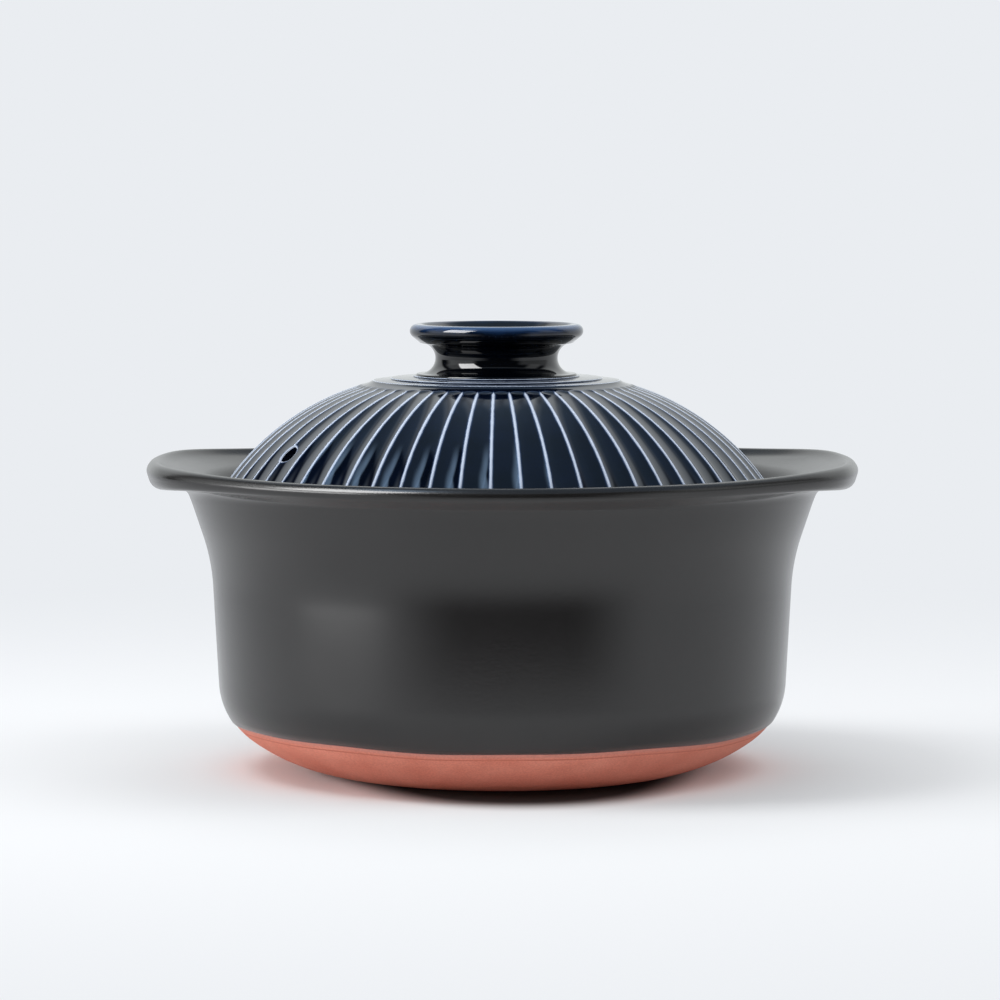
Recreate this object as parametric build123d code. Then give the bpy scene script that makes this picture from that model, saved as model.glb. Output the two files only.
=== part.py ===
from build123d import *
import os
from math import acos, asin, atan2, cos, degrees, hypot, pi, radians, sin, sqrt, tan

# A household rice donabe: a deep clay pot with a flared rim and two broad lugs drawn out of it,
# and a domed clay lid cut with flutes, with a stepped crown and a flared knob.
# The pot stands on z = 0 with its axis on Z. The lugs point along X and the steam hole looks to -X, -Y.
# Sizes are those of the fired clay, in millimetres, and the glaze coats lie outside them.
# A section is drawn as radius and height, and revolved round the axis.

# Glaze
coat_thickness = 0.5
glaze_line_height = 16.5

# Outside of the pot, from the foot upwards, each stretch tangent to the last
foot_radius = 60.0
foot_slope_deg = 9.0
under_radius = 63.5
heel_slope_deg = 36.0
heel_radius = 24.5
wall_lean_deg = 3.1
wall_run = 33.7
flare_radius = 68.5
flare_lean_deg = 18.5
rim_height = 104.7

# Inside of the pot
floor_thickness = 9.0
wall_thickness = 8.2
inner_heel_radius = 26.0
gallery_drop = 15.7
gallery_wall = 5.6
gallery_rise = 4.7
gallery_roll_rise = 6.8
gallery_roll_width = 3.3

# Rim and lugs
rim_overhang = 2.8
rim_thickness = 3.2
rim_land = 2.4
rim_top_round = 1.4
rim_under_round = 1.2
lug_projection = 9.3
lug_rise = 2.3
lug_thickness = 8.6
lug_land = 2.8
lug_half_width = 45.0
lug_edge_radius = 165.0
lug_corner_radius = 26.0
lug_level_half_width = 30.0
lug_fade_width = 58.0

# Lid: seat, edge and dome
lid_clearance = 0.5
lid_shift = 2.0
lid_edge_thickness = 3.9
lid_edge_round = 1.2
seat_width = 6.7
bare_edge = 1.4
lid_thickness = 6.0
crown_radius = 44.6
crown_rise = 39.3
dome_radius = 84.5

# Turned steps of the crown, from the dome inwards
crown_bevel_width = 1.7
crown_bevel_rise = 1.2
outer_tread = 6.9
middle_tread = 7.8
tread_rise = 0.3
step_riser = 0.5

# Flutes, hollowed with a round gouge that leaves each ridge a little below the dome
flute_count = 56
gouge_radius = 13.0
flute_start_gap = 4.4
ridge_drop = 0.15
first_ridge_deg = -91.2

# Steam hole, pierced square to the dome on a ridge
hole_radius = 3.6
hole_ring_radius = 81.8
hole_ridges_from_front = -9

# Knob, from its foot on the inner step up to its dished top
knob_foot_margin = 1.0
knob_foot_edge = 0.6
knob_foot_land = 0.8
knob_groove_radius = 5.8
knob_lip_out = 1.1
knob_lip_rise = 3.5
knob_lip_round = 1.9
knob_lip_start_deg = -50.0
knob_dish_land = 1.3
knob_dish_depth = 8.5

# Cutters run this far past what they cut, and a face steeper than this share of a right angle is a side
overrun = 5.0
side_share = 0.01


def turned(*edges):
    """Revolve a closed half section round the vertical axis."""
    return revolve(Plane.XZ * make_face(Curve() + list(edges)), Axis.Z)


def along(point, heading_deg, length):
    """The point of a section that lies a length away along a heading."""
    heading = radians(heading_deg)
    return (point[0] + length * cos(heading), point[1] + length * sin(heading))


def chain(*points):
    """Straight edges from point to point."""
    return [Line(start, end) for start, end in zip(points, points[1:])]


def pair(vector):
    """Radius and height of a point on a section's curve."""
    return (vector.X, vector.Y)


def circle_through(first, second, third):
    """Centre of the circle through three points of a section."""
    (ax, ay), (bx, by), (cx, cy) = first, second, third
    twice_area = 2 * (ax * (by - cy) + bx * (cy - ay) + cx * (ay - by))
    a_square, b_square, c_square = ax**2 + ay**2, bx**2 + by**2, cx**2 + cy**2
    x = (a_square * (by - cy) + b_square * (cy - ay) + c_square * (ay - by)) / twice_area
    y = (a_square * (cx - bx) + b_square * (ax - cx) + c_square * (bx - ax)) / twice_area
    return (x, y)


def slab(height, thickness):
    """A block wider than the pot, from a height up by a thickness."""
    width = 2 * (lug_reach + overrun)
    return extrude(Pos(0, 0, height) * Rectangle(width, width), amount=thickness)


# Sizes worked out from the ones above

foot_slope, heel_slope, wall_lean, flare_lean = (
    radians(angle) for angle in (foot_slope_deg, heel_slope_deg, wall_lean_deg, flare_lean_deg)
)
belly_radius = (
    foot_radius
    + under_radius * (sin(heel_slope) - sin(foot_slope))
    + heel_radius * (cos(wall_lean) - sin(heel_slope))
    + wall_run * sin(wall_lean)
)
belly_height = (
    under_radius * (cos(foot_slope) - cos(heel_slope))
    + heel_radius * (cos(heel_slope) - sin(wall_lean))
    + wall_run * cos(wall_lean)
)
flare_end_radius = belly_radius + flare_radius * (cos(wall_lean) - cos(flare_lean))
flare_end_height = belly_height + flare_radius * (sin(flare_lean) - sin(wall_lean))


def flared_radius(height):
    """Radius of the clay wall's outside in its straight flared stretch under the rim."""
    return flare_end_radius + (height - flare_end_height) * tan(flare_lean)


ledge_height = rim_height - gallery_drop
lip_height = rim_height - rim_thickness / 2
rim_radius = flared_radius(lip_height) + rim_overhang
lug_reach = rim_radius + lug_projection
lug_height = rim_height + lug_rise
gallery_radius = flared_radius(ledge_height) - gallery_wall
seat_height = ledge_height + coat_thickness
lid_radius = gallery_radius - 2 * coat_thickness - lid_shift - lid_clearance
lid_edge_height = seat_height + lid_edge_thickness
crown_height = lid_edge_height + crown_rise
outer_step = (crown_radius - crown_bevel_width, crown_height + crown_bevel_rise)
middle_step = (outer_step[0] - outer_tread, outer_step[1] + tread_rise + step_riser)
inner_step = (middle_step[0] - middle_tread, middle_step[1] + tread_rise + step_riser)
flute_pitch_deg = 360 / flute_count


def pot_outside(coat):
    """The turned outside of the pot up to the middle of its rim, grown by the coat."""
    start = along((foot_radius, 0), foot_slope_deg - 90, coat)
    along_foot = (cos(foot_slope), sin(foot_slope))
    under = JernArc(start, along_foot, under_radius + coat, heel_slope_deg - foot_slope_deg)
    heel = JernArc(under @ 1, under % 1, heel_radius + coat, 90 - wall_lean_deg - heel_slope_deg)
    wall_top = along(pair(heel @ 1), 90 - wall_lean_deg, wall_run)
    flare = JernArc(wall_top, heel % 1, flare_radius - coat, wall_lean_deg - flare_lean_deg)
    flare_end = pair(flare @ 1)
    lip = along(flare_end, 90 - flare_lean_deg, (lip_height - flare_end[1]) / cos(flare_lean))
    walls = [under, heel, *chain(pair(heel @ 1), wall_top), flare]
    return turned(*walls, *chain(flare_end, lip, (0, lip_height), (0, start[1]), start))


def outline_joints(rim, reach):
    """Joints of the rim's plan in its first quarter, from the lug's edge round its corner to the rim."""
    edge_centre = reach - lug_edge_radius
    turn = asin(lug_half_width / lug_edge_radius)
    corner = along((edge_centre, 0), degrees(turn), lug_edge_radius - lug_corner_radius)
    touch = atan2(corner[1], corner[0]) + acos((rim - lug_corner_radius) / hypot(*corner))
    edge_end = along((edge_centre, 0), degrees(turn), lug_edge_radius)
    corner_middle = along(corner, degrees(turn + touch) / 2, lug_corner_radius)
    corner_end = along(corner, degrees(touch), lug_corner_radius)
    rim_start = along((0, 0), degrees(touch), rim)
    return edge_end, corner_middle, corner_end, rim_start


def rim_plan(rim, reach, height, grow=0):
    """Plan of the rim with its two lugs, as a face at a height."""
    edges = []
    joints = outline_joints(rim, reach)
    for side in (1, -1):
        edge_end, middle, corner_end, rim_start = [(side * x, side * y) for x, y in joints]
        other_end, other_middle, other_corner, other_rim = [(side * x, -side * y) for x, y in joints]
        edges += [
            ThreePointArc(other_end, (side * reach, 0), edge_end),
            ThreePointArc(edge_end, middle, corner_end),
            Line(corner_end, rim_start),
            ThreePointArc(rim_start, (0, side * rim), (-rim_start[0], rim_start[1])),
            Line(other_rim, other_corner),
            ThreePointArc(other_corner, other_middle, other_end),
        ]
    plan = make_face(Curve() + edges)
    return Pos(0, 0, height) * (offset(plan, grow) if grow else plan)


def round_plan(radius, height):
    """A round plan with its joints at the bearings of the rim plan's, so that the two can be lofted."""
    joints = outline_joints(rim_radius, lug_reach)
    bearings = [atan2(joints[index][1], joints[index][0]) for index in (0, 2, 3)]
    half_turn = bearings + [pi - bearing for bearing in reversed(bearings)]
    turn = half_turn + [pi + bearing for bearing in half_turn]
    edges = []
    for start, end in zip(turn, turn[1:] + [turn[0] + 2 * pi]):
        points = [along((0, 0), degrees(bearing), radius) for bearing in (start, (start + end) / 2, end)]
        edges.append(ThreePointArc(*points))
    return Pos(0, 0, height) * make_face(Curve() + edges)


def rim_side_view(coat):
    """The flange seen along X: high and thick across the lugs, lower and thinner at front and back."""
    half = rim_radius + overrun
    level, far = lug_level_half_width, lug_level_half_width + lug_fade_width
    lug_top, rim_top = lug_height + coat, rim_height + coat
    lug_under, rim_under = lug_height - lug_thickness - coat, rim_height - rim_thickness - coat
    forward, back = ((1, 0), (1, 0)), ((-1, 0), (-1, 0))
    edges = [
        Spline((-far, rim_top), (-level, lug_top), tangents=forward),
        Spline((level, lug_top), (far, rim_top), tangents=forward),
        Spline((far, rim_under), (level, lug_under), tangents=back),
        Spline((-level, lug_under), (-far, rim_under), tangents=back),
    ]
    edges += chain((-level, lug_top), (level, lug_top))
    edges += chain((far, rim_top), (half, rim_top), (half, rim_under), (far, rim_under))
    edges += chain((level, lug_under), (-level, lug_under))
    edges += chain((-far, rim_under), (-half, rim_under), (-half, rim_top), (-far, rim_top))
    return extrude(Plane.YZ * make_face(Curve() + edges), amount=lug_reach + overrun, both=True)


def flange(coat):
    """The flange of rim and lugs as one solid disc, with its outer edges rounded."""
    low = lug_height - lug_thickness - overrun
    plan = rim_plan(rim_radius, lug_reach, low, coat)
    disc = extrude(plan, amount=lug_height + overrun - low) & rim_side_view(coat)
    for above, radius in ((True, rim_top_round + coat), (False, rim_under_round + coat)):
        sides = disc.faces().filter_by(lambda face: abs(face.normal_at().Z) < side_share)
        caps = set(disc.faces().filter_by(lambda face: abs(face.normal_at().Z) >= side_share).edges())
        edges = [edge for edge in sides.edges() if edge in caps and (edge.center().Z > lip_height) == above]
        disc = fillet(edges, radius)
    return disc


def gallery_section(coat):
    """The gallery's section: the ledge's outer end, the top of its wall, and where the dish begins."""
    ledge_end = (gallery_radius - coat, ledge_height + coat)
    wall_top = along(ledge_end, 90 - flare_lean_deg, gallery_rise)
    dish_start = (wall_top[0] + gallery_roll_width, wall_top[1] + gallery_roll_rise)
    return ledge_end, wall_top, dish_start


def dish(coat):
    """What is hollowed out of the flange, from a round at the gallery out to the rim and the lugs."""
    start = gallery_section(coat)[-1]
    top = lug_height + coat
    climb_share = (top - start[1]) / (rim_height + coat - start[1])
    rim_top_radius = start[0] + (rim_radius - rim_land - start[0]) * climb_share
    return loft([round_plan(*start), rim_plan(rim_top_radius, lug_reach - lug_land, top)], ruled=True)


def pot_hollow(coat):
    """The turned inside of the pot: floor, wall, ledge and gallery, up to where the dish begins."""
    ledge_end, wall_top, dish_start = gallery_section(coat)
    floor = floor_thickness + coat
    heel = inner_heel_radius - coat
    upright = belly_radius - wall_thickness / cos(wall_lean) - coat
    heel_rise = heel * (1 - sin(wall_lean))
    heel_end = upright - (belly_height - floor - heel_rise) * tan(wall_lean)
    flat = heel_end - heel * cos(wall_lean)
    arc = JernArc((flat, floor), (1, 0), heel, 90 - wall_lean_deg)
    wall = chain(pair(arc @ 1), (upright, belly_height), (upright, ledge_end[1]), ledge_end)
    gallery = chain(ledge_end, wall_top, dish_start, (0, dish_start[1]))
    return turned(*chain((0, dish_start[1]), (0, floor), (flat, floor)), arc, *wall, *gallery)


def pot_form(coat):
    """The whole pot with its surfaces grown by the coat."""
    return pot_outside(coat) + flange(coat) - pot_hollow(coat) - dish(coat)


def dome_centre():
    """Centre of the dome's arc, which runs from the crown's edge down to the lid's edge."""
    across, down = lid_radius - crown_radius, crown_rise
    half = hypot(across, down) / 2
    heading = degrees(atan2(down, -across)) + 90
    middle = ((lid_radius + crown_radius) / 2, (lid_edge_height + crown_height) / 2)
    return along(middle, heading, sqrt(dome_radius**2 - half**2))


def dome_point(radius, raised):
    """The point of the dome's section at a radius, raised square to the dome."""
    centre = dome_centre()
    heading = degrees(acos((radius - centre[0]) / dome_radius))
    return along(centre, heading, dome_radius + raised)


def dome_arc(inner, outer, raised):
    """The stretch of the dome's section between two radii, drawn inwards."""
    points = [dome_point(radius, raised) for radius in (outer, (inner + outer) / 2, inner)]
    return ThreePointArc(*points)


def flute_cutter(coat):
    """One flute with a round top end, deep enough that a sharp ridge is all that parts it from the next."""
    start, end = crown_radius + flute_start_gap, lid_radius
    path = []
    for radius in (start, (start + end) / 2, end):
        half_pitch = radius * pi / flute_count
        depth = ridge_drop + gouge_radius - sqrt(gouge_radius**2 - half_pitch**2)
        path.append(dome_point(radius, gouge_radius - depth))
    centre = circle_through(*path)
    begin, stop = (atan2(point[1] - centre[1], point[0] - centre[0]) for point in (path[0], path[-1]))
    past = overrun / dome_radius
    axis = Axis((centre[0], 0, centre[1]), (0, 1, 0))
    outward = (cos(begin), 0, sin(begin))
    plane = Plane(origin=(path[0][0], 0, path[0][1]), x_dir=outward, z_dir=(sin(begin), 0, -cos(begin)))
    sweep = revolve(plane * Circle(gouge_radius - coat), axis, degrees(begin - stop + past))
    return sweep + plane * Sphere(gouge_radius - coat)


def lid_outside(coat):
    """The lid under its outer surface: rounded edge, fluted dome and stepped crown, grown by the coat."""
    dome_end = dome_point(lid_radius, coat)
    bottom = seat_height + (bare_edge if coat else 0)
    steps = []
    for radius, height in (outer_step, middle_step, inner_step):
        steps += [(radius + coat, height - step_riser + coat), (radius + coat, height + coat)]
    steps = steps[1:]
    low_edge = [(dome_end[0], bottom)]
    if not coat:
        low_edge = [(dome_end[0] - lid_edge_round, bottom), (dome_end[0], bottom + lid_edge_round)]
    top = chain(dome_point(crown_radius, coat), *steps, (0, steps[-1][1]), (0, bottom))
    edge = chain((0, bottom), *low_edge, dome_end)
    lid = turned(*top, *edge, dome_arc(crown_radius, lid_radius, coat))
    cutter = flute_cutter(coat)
    for index in range(flute_count):
        bearing = first_ridge_deg + (index + 0.5) * flute_pitch_deg
        lid -= Rot(0, 0, bearing) * cutter
    return lid


def lid_hollow(coat):
    """The space under the lid, inside its seat ring, shrunk by the coat."""
    inner = lid_radius - seat_width - coat
    raised = -lid_thickness - coat
    centre = dome_centre()
    arm = dome_radius + raised
    heading = degrees(acos((inner - centre[0]) / arm))
    start = along(centre, heading, arm)
    end = dome_point(crown_radius, raised)
    middle = along(centre, (heading + degrees(acos((crown_radius - centre[0]) / dome_radius))) / 2, arm)
    bottom = seat_height - overrun
    return turned(
        ThreePointArc(start, middle, end),
        *chain(end, (0, end[1]), (0, bottom), (inner, bottom), start),
    )


def steam_hole():
    """A round bar through the lid, square to the dome, on its ridge."""
    bearing = first_ridge_deg + hole_ridges_from_front * flute_pitch_deg
    point = dome_point(hole_ring_radius, 0)
    centre = dome_centre()
    outward = (point[0] - centre[0], 0, point[1] - centre[1])
    plane = Plane(origin=(point[0], 0, point[1]), z_dir=outward)
    bar = extrude(plane * Circle(hole_radius), amount=lid_thickness + overrun, both=True)
    return Rot(0, 0, bearing) * bar


def knob_form(coat):
    """The knob: a round-grooved neck under a rounded lip, with a dished top, grown by the coat."""
    base = inner_step[1]
    foot = inner_step[0] - knob_foot_margin
    groove = (foot - knob_foot_land, base + knob_foot_edge + knob_groove_radius)
    groove_radius = knob_groove_radius - coat
    groove_low = (groove[0], groove[1] - groove_radius)
    groove_high = (groove[0], groove[1] + groove_radius)
    lip = (groove[0] + knob_lip_out, groove[1] + knob_groove_radius + knob_lip_rise)
    lip_radius = knob_lip_round + coat
    lip_start = along(lip, knob_lip_start_deg, lip_radius)
    lip_top = (lip[0], lip[1] + lip_radius)
    dish_edge = lip[0] - knob_dish_land
    dish_radius = (dish_edge**2 + knob_dish_depth**2) / (2 * knob_dish_depth)
    dish_centre = lip[1] + knob_lip_round - knob_dish_depth + dish_radius
    ball = dish_radius - coat
    dish_start = (sqrt(ball**2 - (dish_centre - lip_top[1]) ** 2), lip_top[1])
    dish_floor = dish_centre - ball
    middle_turn = asin(dish_start[0] / ball) / 2
    dish_middle = (ball * sin(middle_turn), dish_centre - ball * cos(middle_turn))
    return turned(
        *chain((0, base), (foot + coat, base), (foot + coat, groove_low[1]), groove_low),
        ThreePointArc(groove_low, (groove[0] - groove_radius, groove[1]), groove_high),
        *chain(groove_high, lip_start),
        ThreePointArc(lip_start, (lip[0] + lip_radius, lip[1]), lip_top),
        *chain(lip_top, dish_start),
        ThreePointArc(dish_start, dish_middle, (0, dish_floor)),
        *chain((0, dish_floor), (0, base)),
    )


def make_pot():
    """The clay pot and its glaze coat, which stops at the line above the foot."""
    clay = pot_form(0)
    above_line = slab(glaze_line_height, lug_height)
    glaze = (pot_form(coat_thickness) & above_line) - clay
    return {"pot_body": clay, "pot_glaze": glaze}


def make_lid():
    """The clay lid with its knob, the coat over both, and the coat under the lid."""
    place = Pos(-lid_shift, 0, 0)
    hole = steam_hole()
    solid_lid = lid_outside(0)
    knob = knob_form(0)
    coated = lid_outside(coat_thickness) + knob_form(coat_thickness)
    hollow = lid_hollow(0)
    lining = (hollow & slab(seat_height + bare_edge, crown_height)) - lid_hollow(coat_thickness)
    nodes = {
        "lid_body": solid_lid - hollow - hole,
        "lid_knob": knob,
        "lid_glaze": coated - solid_lid - knob - hole,
        "lid_lining": lining - hole,
    }
    return {name: place * shape for name, shape in nodes.items()}


os.makedirs("parts", exist_ok=True)
for node, shape in {**make_pot(), **make_lid()}.items():
    export_step(shape, f"parts/{node}.step")
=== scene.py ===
import bpy
import numpy as np
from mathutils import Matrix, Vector


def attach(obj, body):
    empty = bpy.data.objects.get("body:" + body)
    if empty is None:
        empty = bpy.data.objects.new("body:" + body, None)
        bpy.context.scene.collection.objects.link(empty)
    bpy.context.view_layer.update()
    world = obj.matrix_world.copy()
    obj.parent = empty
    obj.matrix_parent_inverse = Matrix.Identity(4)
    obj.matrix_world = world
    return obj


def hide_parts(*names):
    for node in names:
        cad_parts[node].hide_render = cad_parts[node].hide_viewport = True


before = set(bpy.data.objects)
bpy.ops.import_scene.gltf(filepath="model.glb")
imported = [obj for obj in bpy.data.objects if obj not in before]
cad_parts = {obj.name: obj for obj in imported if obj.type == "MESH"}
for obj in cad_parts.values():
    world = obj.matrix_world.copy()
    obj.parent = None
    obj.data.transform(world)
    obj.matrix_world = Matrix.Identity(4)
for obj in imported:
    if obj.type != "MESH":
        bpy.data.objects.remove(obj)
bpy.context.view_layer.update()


# The clay pot: one piece of red stoneware, thrown on a wheel, its foot trimmed and its two lugs
# drawn out of the soft rim by hand. It is fired hard, and only the band under the glaze stays bare.
# Lengths are millimetres until a mesh is made. A section is drawn as radius and height.

foot_radius, foot_slope = 60.0, 9.0
under_radius, under_turn = 63.5, 27.0
heel_radius, heel_turn = 24.5, 50.9
wall_run = 33.7
flare_radius, flare_turn = 68.5, -15.4
flare_run = 40.0
floor_height = 9.0
inner_radius = 91.065
belly_height = 63.49
inner_heel_radius, wall_lean = 26.0, 3.1
ledge_point = (99.618, 89.0)
ledge_drop = 3.0
gallery_top = (101.109, 93.457)
roll_point = (104.409, 100.257)
pot_columns = 280

# Bearings in degrees from the lug's middle to the pot's front, and the fired clay's sizes there
rim_bearings = [0, 8, 14, 20, 24, 28, 32, 36, 42, 48, 56, 66, 78, 90]
rim_reach = [122.0, 122.3, 123.0, 123.9, 123.7, 121.9, 119.6]
rim_reach += [117.6, 115.4, 114.2, 113.3, 112.8, 112.7, 112.7]
crest_bearings = [0, 18, 27, 34, 42, 52, 90]
crest_height = [107.0, 107.0, 106.4, 105.7, 105.2, 104.8, 104.7]
under_bearings = [0, 14, 27, 36, 48, 60, 90]
under_height = [98.3, 98.5, 100.1, 101.0, 101.6, 101.7, 101.7]
softening_bearings = [-4, -2, 0, 2, 4]

# A lug's share grows from 0 to 1 over this run of reach
lug_reach, lug_reach_run = 113.2, 9.0
# Drops at the plain rim, and what a lug adds: to the hollow under the lip, and on to the wall's round
hollow_drop, hollow_drop_at_lug = 3.6, -3.4
round_drop, round_drop_at_lug = 2.4, 3.3
hollow_step = 0.2
# The lip's corners from its underside to its inner edge: inset from the reach and what a lug adds to
# it, drop from the underside or the crest and what a lug adds to it, and how many coats further in
lip_corners = [
    (0.5, 1.3, -0.1, -0.6, 0.0),
    (0.0, 0.0, 2.0, 1.0, 0.0),
    (1.4, 0.4, 0.2, 0.3, 0.0),
    (3.0, 0.4, -0.1, 0.0, 1.0),
    (5.2, 0.8, 2.2, 0.3, 1.7),
]
# How far each corner is rounded at the plain rim, and what a lug adds
corner_rounds = [(0.7, 3.9), (0.6, 2.0), (0.9, 1.4), (1.7, 0.6), (1.8, 0.0)]
corner_rounds += [(2.4, 0.0), (2.6, 0.0), (2.0, 0.0), (0.5, 0.0), (1.0, 0.0)]


def walked(start, heading, steps, points=20):
    """Points of a section. From start, at a heading in degrees, each step goes on where the last
    ended: (length, None) is straight, and (radius, turn) is an arc, whose points lie at
    centre + radius * (sin, -cos) of the heading as it turns."""
    place, path = np.array(start, float), [np.array(start, float)]
    for size, turn in steps:
        angle = np.radians(heading)
        if turn is None:
            shares = np.linspace(0, 1, points)[1:, None]
            path += list(place + shares * size * np.array([np.cos(angle), np.sin(angle)]))
        else:
            side = np.sign(turn)
            centre = place + side * size * np.array([-np.sin(angle), np.cos(angle)])
            turned = angle + np.radians(turn) * np.linspace(0, 1, points)[1:]
            path += list(centre + side * size * np.stack([np.sin(turned), -np.cos(turned)], 1))
            heading += turn
        place = path[-1]
    return np.array(path)


def pot_side(coat):
    """The turned outside of the pot, grown by the coat: foot, heel, wall and flare."""
    slope = np.radians(foot_slope)
    start = (foot_radius + coat * np.sin(slope), -coat * np.cos(slope))
    steps = [(under_radius + coat, under_turn), (heel_radius + coat, heel_turn), (wall_run, None)]
    return walked(start, foot_slope, steps + [(flare_radius - coat, flare_turn), (flare_run, None)])


def pot_inside(coat):
    """The turned inside below the ledge, from the middle of the floor up, grown by the coat."""
    heel, lean = inner_heel_radius - coat, np.radians(wall_lean)
    upright, bottom = inner_radius - coat, floor_height + coat
    heel_end = upright - (belly_height - bottom - heel * (1 - np.sin(lean))) * np.tan(lean)
    flat = heel_end - heel * np.cos(lean)
    path = walked((0, bottom), 0, [(flat, None), (heel, 90 - wall_lean)])
    belly = (upright, belly_height)
    leaning = np.linspace(path[-1], belly, 8)[1:]
    straight = np.linspace(belly, (upright, ledge_point[1] + coat - ledge_drop), 6)[1:]
    return np.concatenate([path, leaning, straight])


def round_the_pot(bearings, values, turn):
    """A size for each bearing of a full turn, the same in all four quarters: straight between the
    table's bearings, then averaged over places up to 4 degrees to either side."""
    nearby = turn[:, None] + np.radians(softening_bearings)
    folded = np.degrees(np.arcsin(np.abs(np.sin(nearby))))
    return np.interp(folded, bearings, values).mean(1)


def rounded(corners, rounds, points=6, between=3):
    """A section through corners (corner, column, 2), each rounded by a parabola that starts and ends
    at its round's distance from it, and at most 0.48 of the way to the next one. The runs between
    get points of their own, so that shading doesn't drag across them."""
    rows = [corners[:1]]
    share = np.linspace(0, 1, points)[:, None, None]
    for index in range(1, len(corners) - 1):
        before, here, after = corners[index - 1 : index + 2]
        size_in = np.linalg.norm(before - here, axis=-1, keepdims=True)
        size_out = np.linalg.norm(after - here, axis=-1, keepdims=True)
        reach = np.minimum(rounds[index - 1], 0.48 * np.minimum(size_in, size_out))
        start = here + (before - here) * reach / size_in
        end = here + (after - here) * reach / size_out
        run = np.linspace(rows[-1][-1], start, between + 2)[1:-1]
        bend = (1 - share) ** 2 * start + 2 * share * (1 - share) * here + share**2 * end
        rows += [run, bend]
    rows += [np.linspace(rows[-1][-1], corners[-1], between + 2)[1:]]
    return np.concatenate(rows)


def pot_top(coat, turn):
    """The rim and lugs over a full turn, from the wall under the lip, over the crest and down to the
    wall under the ledge, grown by the coat. Each corner is its plain place plus the lug's share at
    that bearing times what a lug adds, which draws the lugs."""
    side = pot_side(coat)
    reach = round_the_pot(rim_bearings, rim_reach, turn) + coat
    crest = round_the_pot(crest_bearings, crest_height, turn) + coat
    under = round_the_pot(under_bearings, under_height, turn) - coat
    lug = np.clip((reach - lug_reach - coat) / lug_reach_run, 0, 1)
    hollow = under - hollow_drop - hollow_drop_at_lug * lug
    round_start = hollow - round_drop - round_drop_at_lug * lug
    corners = [
        (np.interp(round_start, side[:, 1], side[:, 0]), round_start),
        (np.interp(hollow, side[:, 1], side[:, 0]) + hollow_step, hollow),
    ]
    for level, (inset, lug_inset, drop, lug_drop, coats) in zip([under] + 4 * [crest], lip_corners):
        corners += [(reach - coats * coat - inset - lug_inset * lug, level - drop - lug_drop * lug)]
    ledge_end, skirt_end = (inner_radius, ledge_point[1]), (inner_radius, ledge_point[1] - ledge_drop)
    even = np.ones_like(turn)
    for radius, height in (roll_point, gallery_top, ledge_point, ledge_end, skirt_end):
        corners += [((radius - coat) * even, (height + coat) * even)]
    corners = np.stack([np.stack(corner, -1) for corner in corners])
    return rounded(corners, [(plain + more * lug)[:, None] for plain, more in corner_rounds])


def pot_rows(coat, lowest, turn, side_rows=46):
    """The whole surface of the pot grown by the coat, as rows of (radius, height) over a full turn:
    from a height on its outside up over the rim, and down inside to the middle of the floor."""
    side = pot_side(coat)
    top = pot_top(coat, turn)
    share = np.linspace(0, 1, side_rows)[:-1, None]
    heights = lowest + (top[0, :, 1] - lowest) * share
    wall = np.stack([np.interp(heights, side[:, 1], side[:, 0]), heights], -1)
    inside = pot_inside(coat)[::-1][1:, None] * np.ones((1, len(turn), 1))
    return np.concatenate([wall, top, inside])


def in_space(rows, turn, shift=0.0):
    """Rows of (radius, height) stood up round the axis: (radius cos, radius sin, height)."""
    radius, height = rows[..., 0], rows[..., 1]
    return np.stack([radius * np.cos(turn) + shift, radius * np.sin(turn), height], -1)


def grid_faces(grid):
    """Faces of rows that each close round the axis, as point numbers. A first or last row with no
    width counts as one point, so its pole is closed."""
    rows, columns = grid.shape[:2]
    index = np.arange(rows * columns).reshape(rows, columns)
    for row in (0, -1):
        if np.ptp(grid[row], axis=0).max() < 1e-6:
            index[row] = index[row, 0]
    ahead = np.roll(index, -1, 1)
    return np.stack([index[:-1], ahead[:-1], ahead[1:], index[1:]], -1).reshape(-1, 4)


def piece_of(name, points, faces, **readings):
    """A smooth piece from points and four-cornered faces. Each reading is a number for each point,
    kept as an attribute. Unused points are left out, and so is a face's repeated corner."""
    used, faces = np.unique(faces, return_inverse=True)
    faces = [list(dict.fromkeys(face)) for face in faces.reshape(-1, 4).tolist()]
    mesh = bpy.data.meshes.new(name)
    mesh.from_pydata((points[used] / 1000).tolist(), [], [face for face in faces if len(face) > 2])
    for reading, values in readings.items():
        layer = mesh.attributes.new(reading, "FLOAT", "POINT")
        layer.data.foreach_set("value", values[used].astype(np.float32))
    mesh.shade_smooth()
    piece = bpy.data.objects.new(name, mesh)
    bpy.context.collection.objects.link(piece)
    return piece


def round_piece(name, grid, **readings):
    """A piece from one grid of rows round the axis."""
    flat = {key: np.broadcast_to(values, grid.shape[:2]).reshape(-1) for key, values in readings.items()}
    return piece_of(name, grid.reshape(-1, 3), grid_faces(grid), **flat)


def colour(written):
    """A colour written as sRGB hex, turned linear: c / 12.92 when dark, and else
    ((c + 0.055) / 1.055) ** 2.4."""
    parts = [int(written[place : place + 2], 16) / 255 for place in (1, 3, 5)]
    return (*[part / 12.92 if part <= 0.04045 else ((part + 0.055) / 1.055) ** 2.4 for part in parts], 1)


def add(tree, kind, inputs=None, stops=(), **settings):
    """Adds a node, sets it up, and gives each input its value, or a link if that value is a socket.
    A colour ramp's stops are its positions, rising, and their sRGB colours."""
    node = tree.nodes.new(kind)
    for name, value in settings.items():
        setattr(node, name, value)
    for name, value in (inputs or {}).items():
        if isinstance(value, bpy.types.NodeSocket):
            tree.links.new(value, node.inputs[name])
        else:
            node.inputs[name].default_value = value
    for number, (position, written) in enumerate(stops):
        elements = node.color_ramp.elements
        stop = elements[number] if number < len(elements) else elements.new(position)
        stop.position, stop.color = position, colour(written)
    return node


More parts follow.
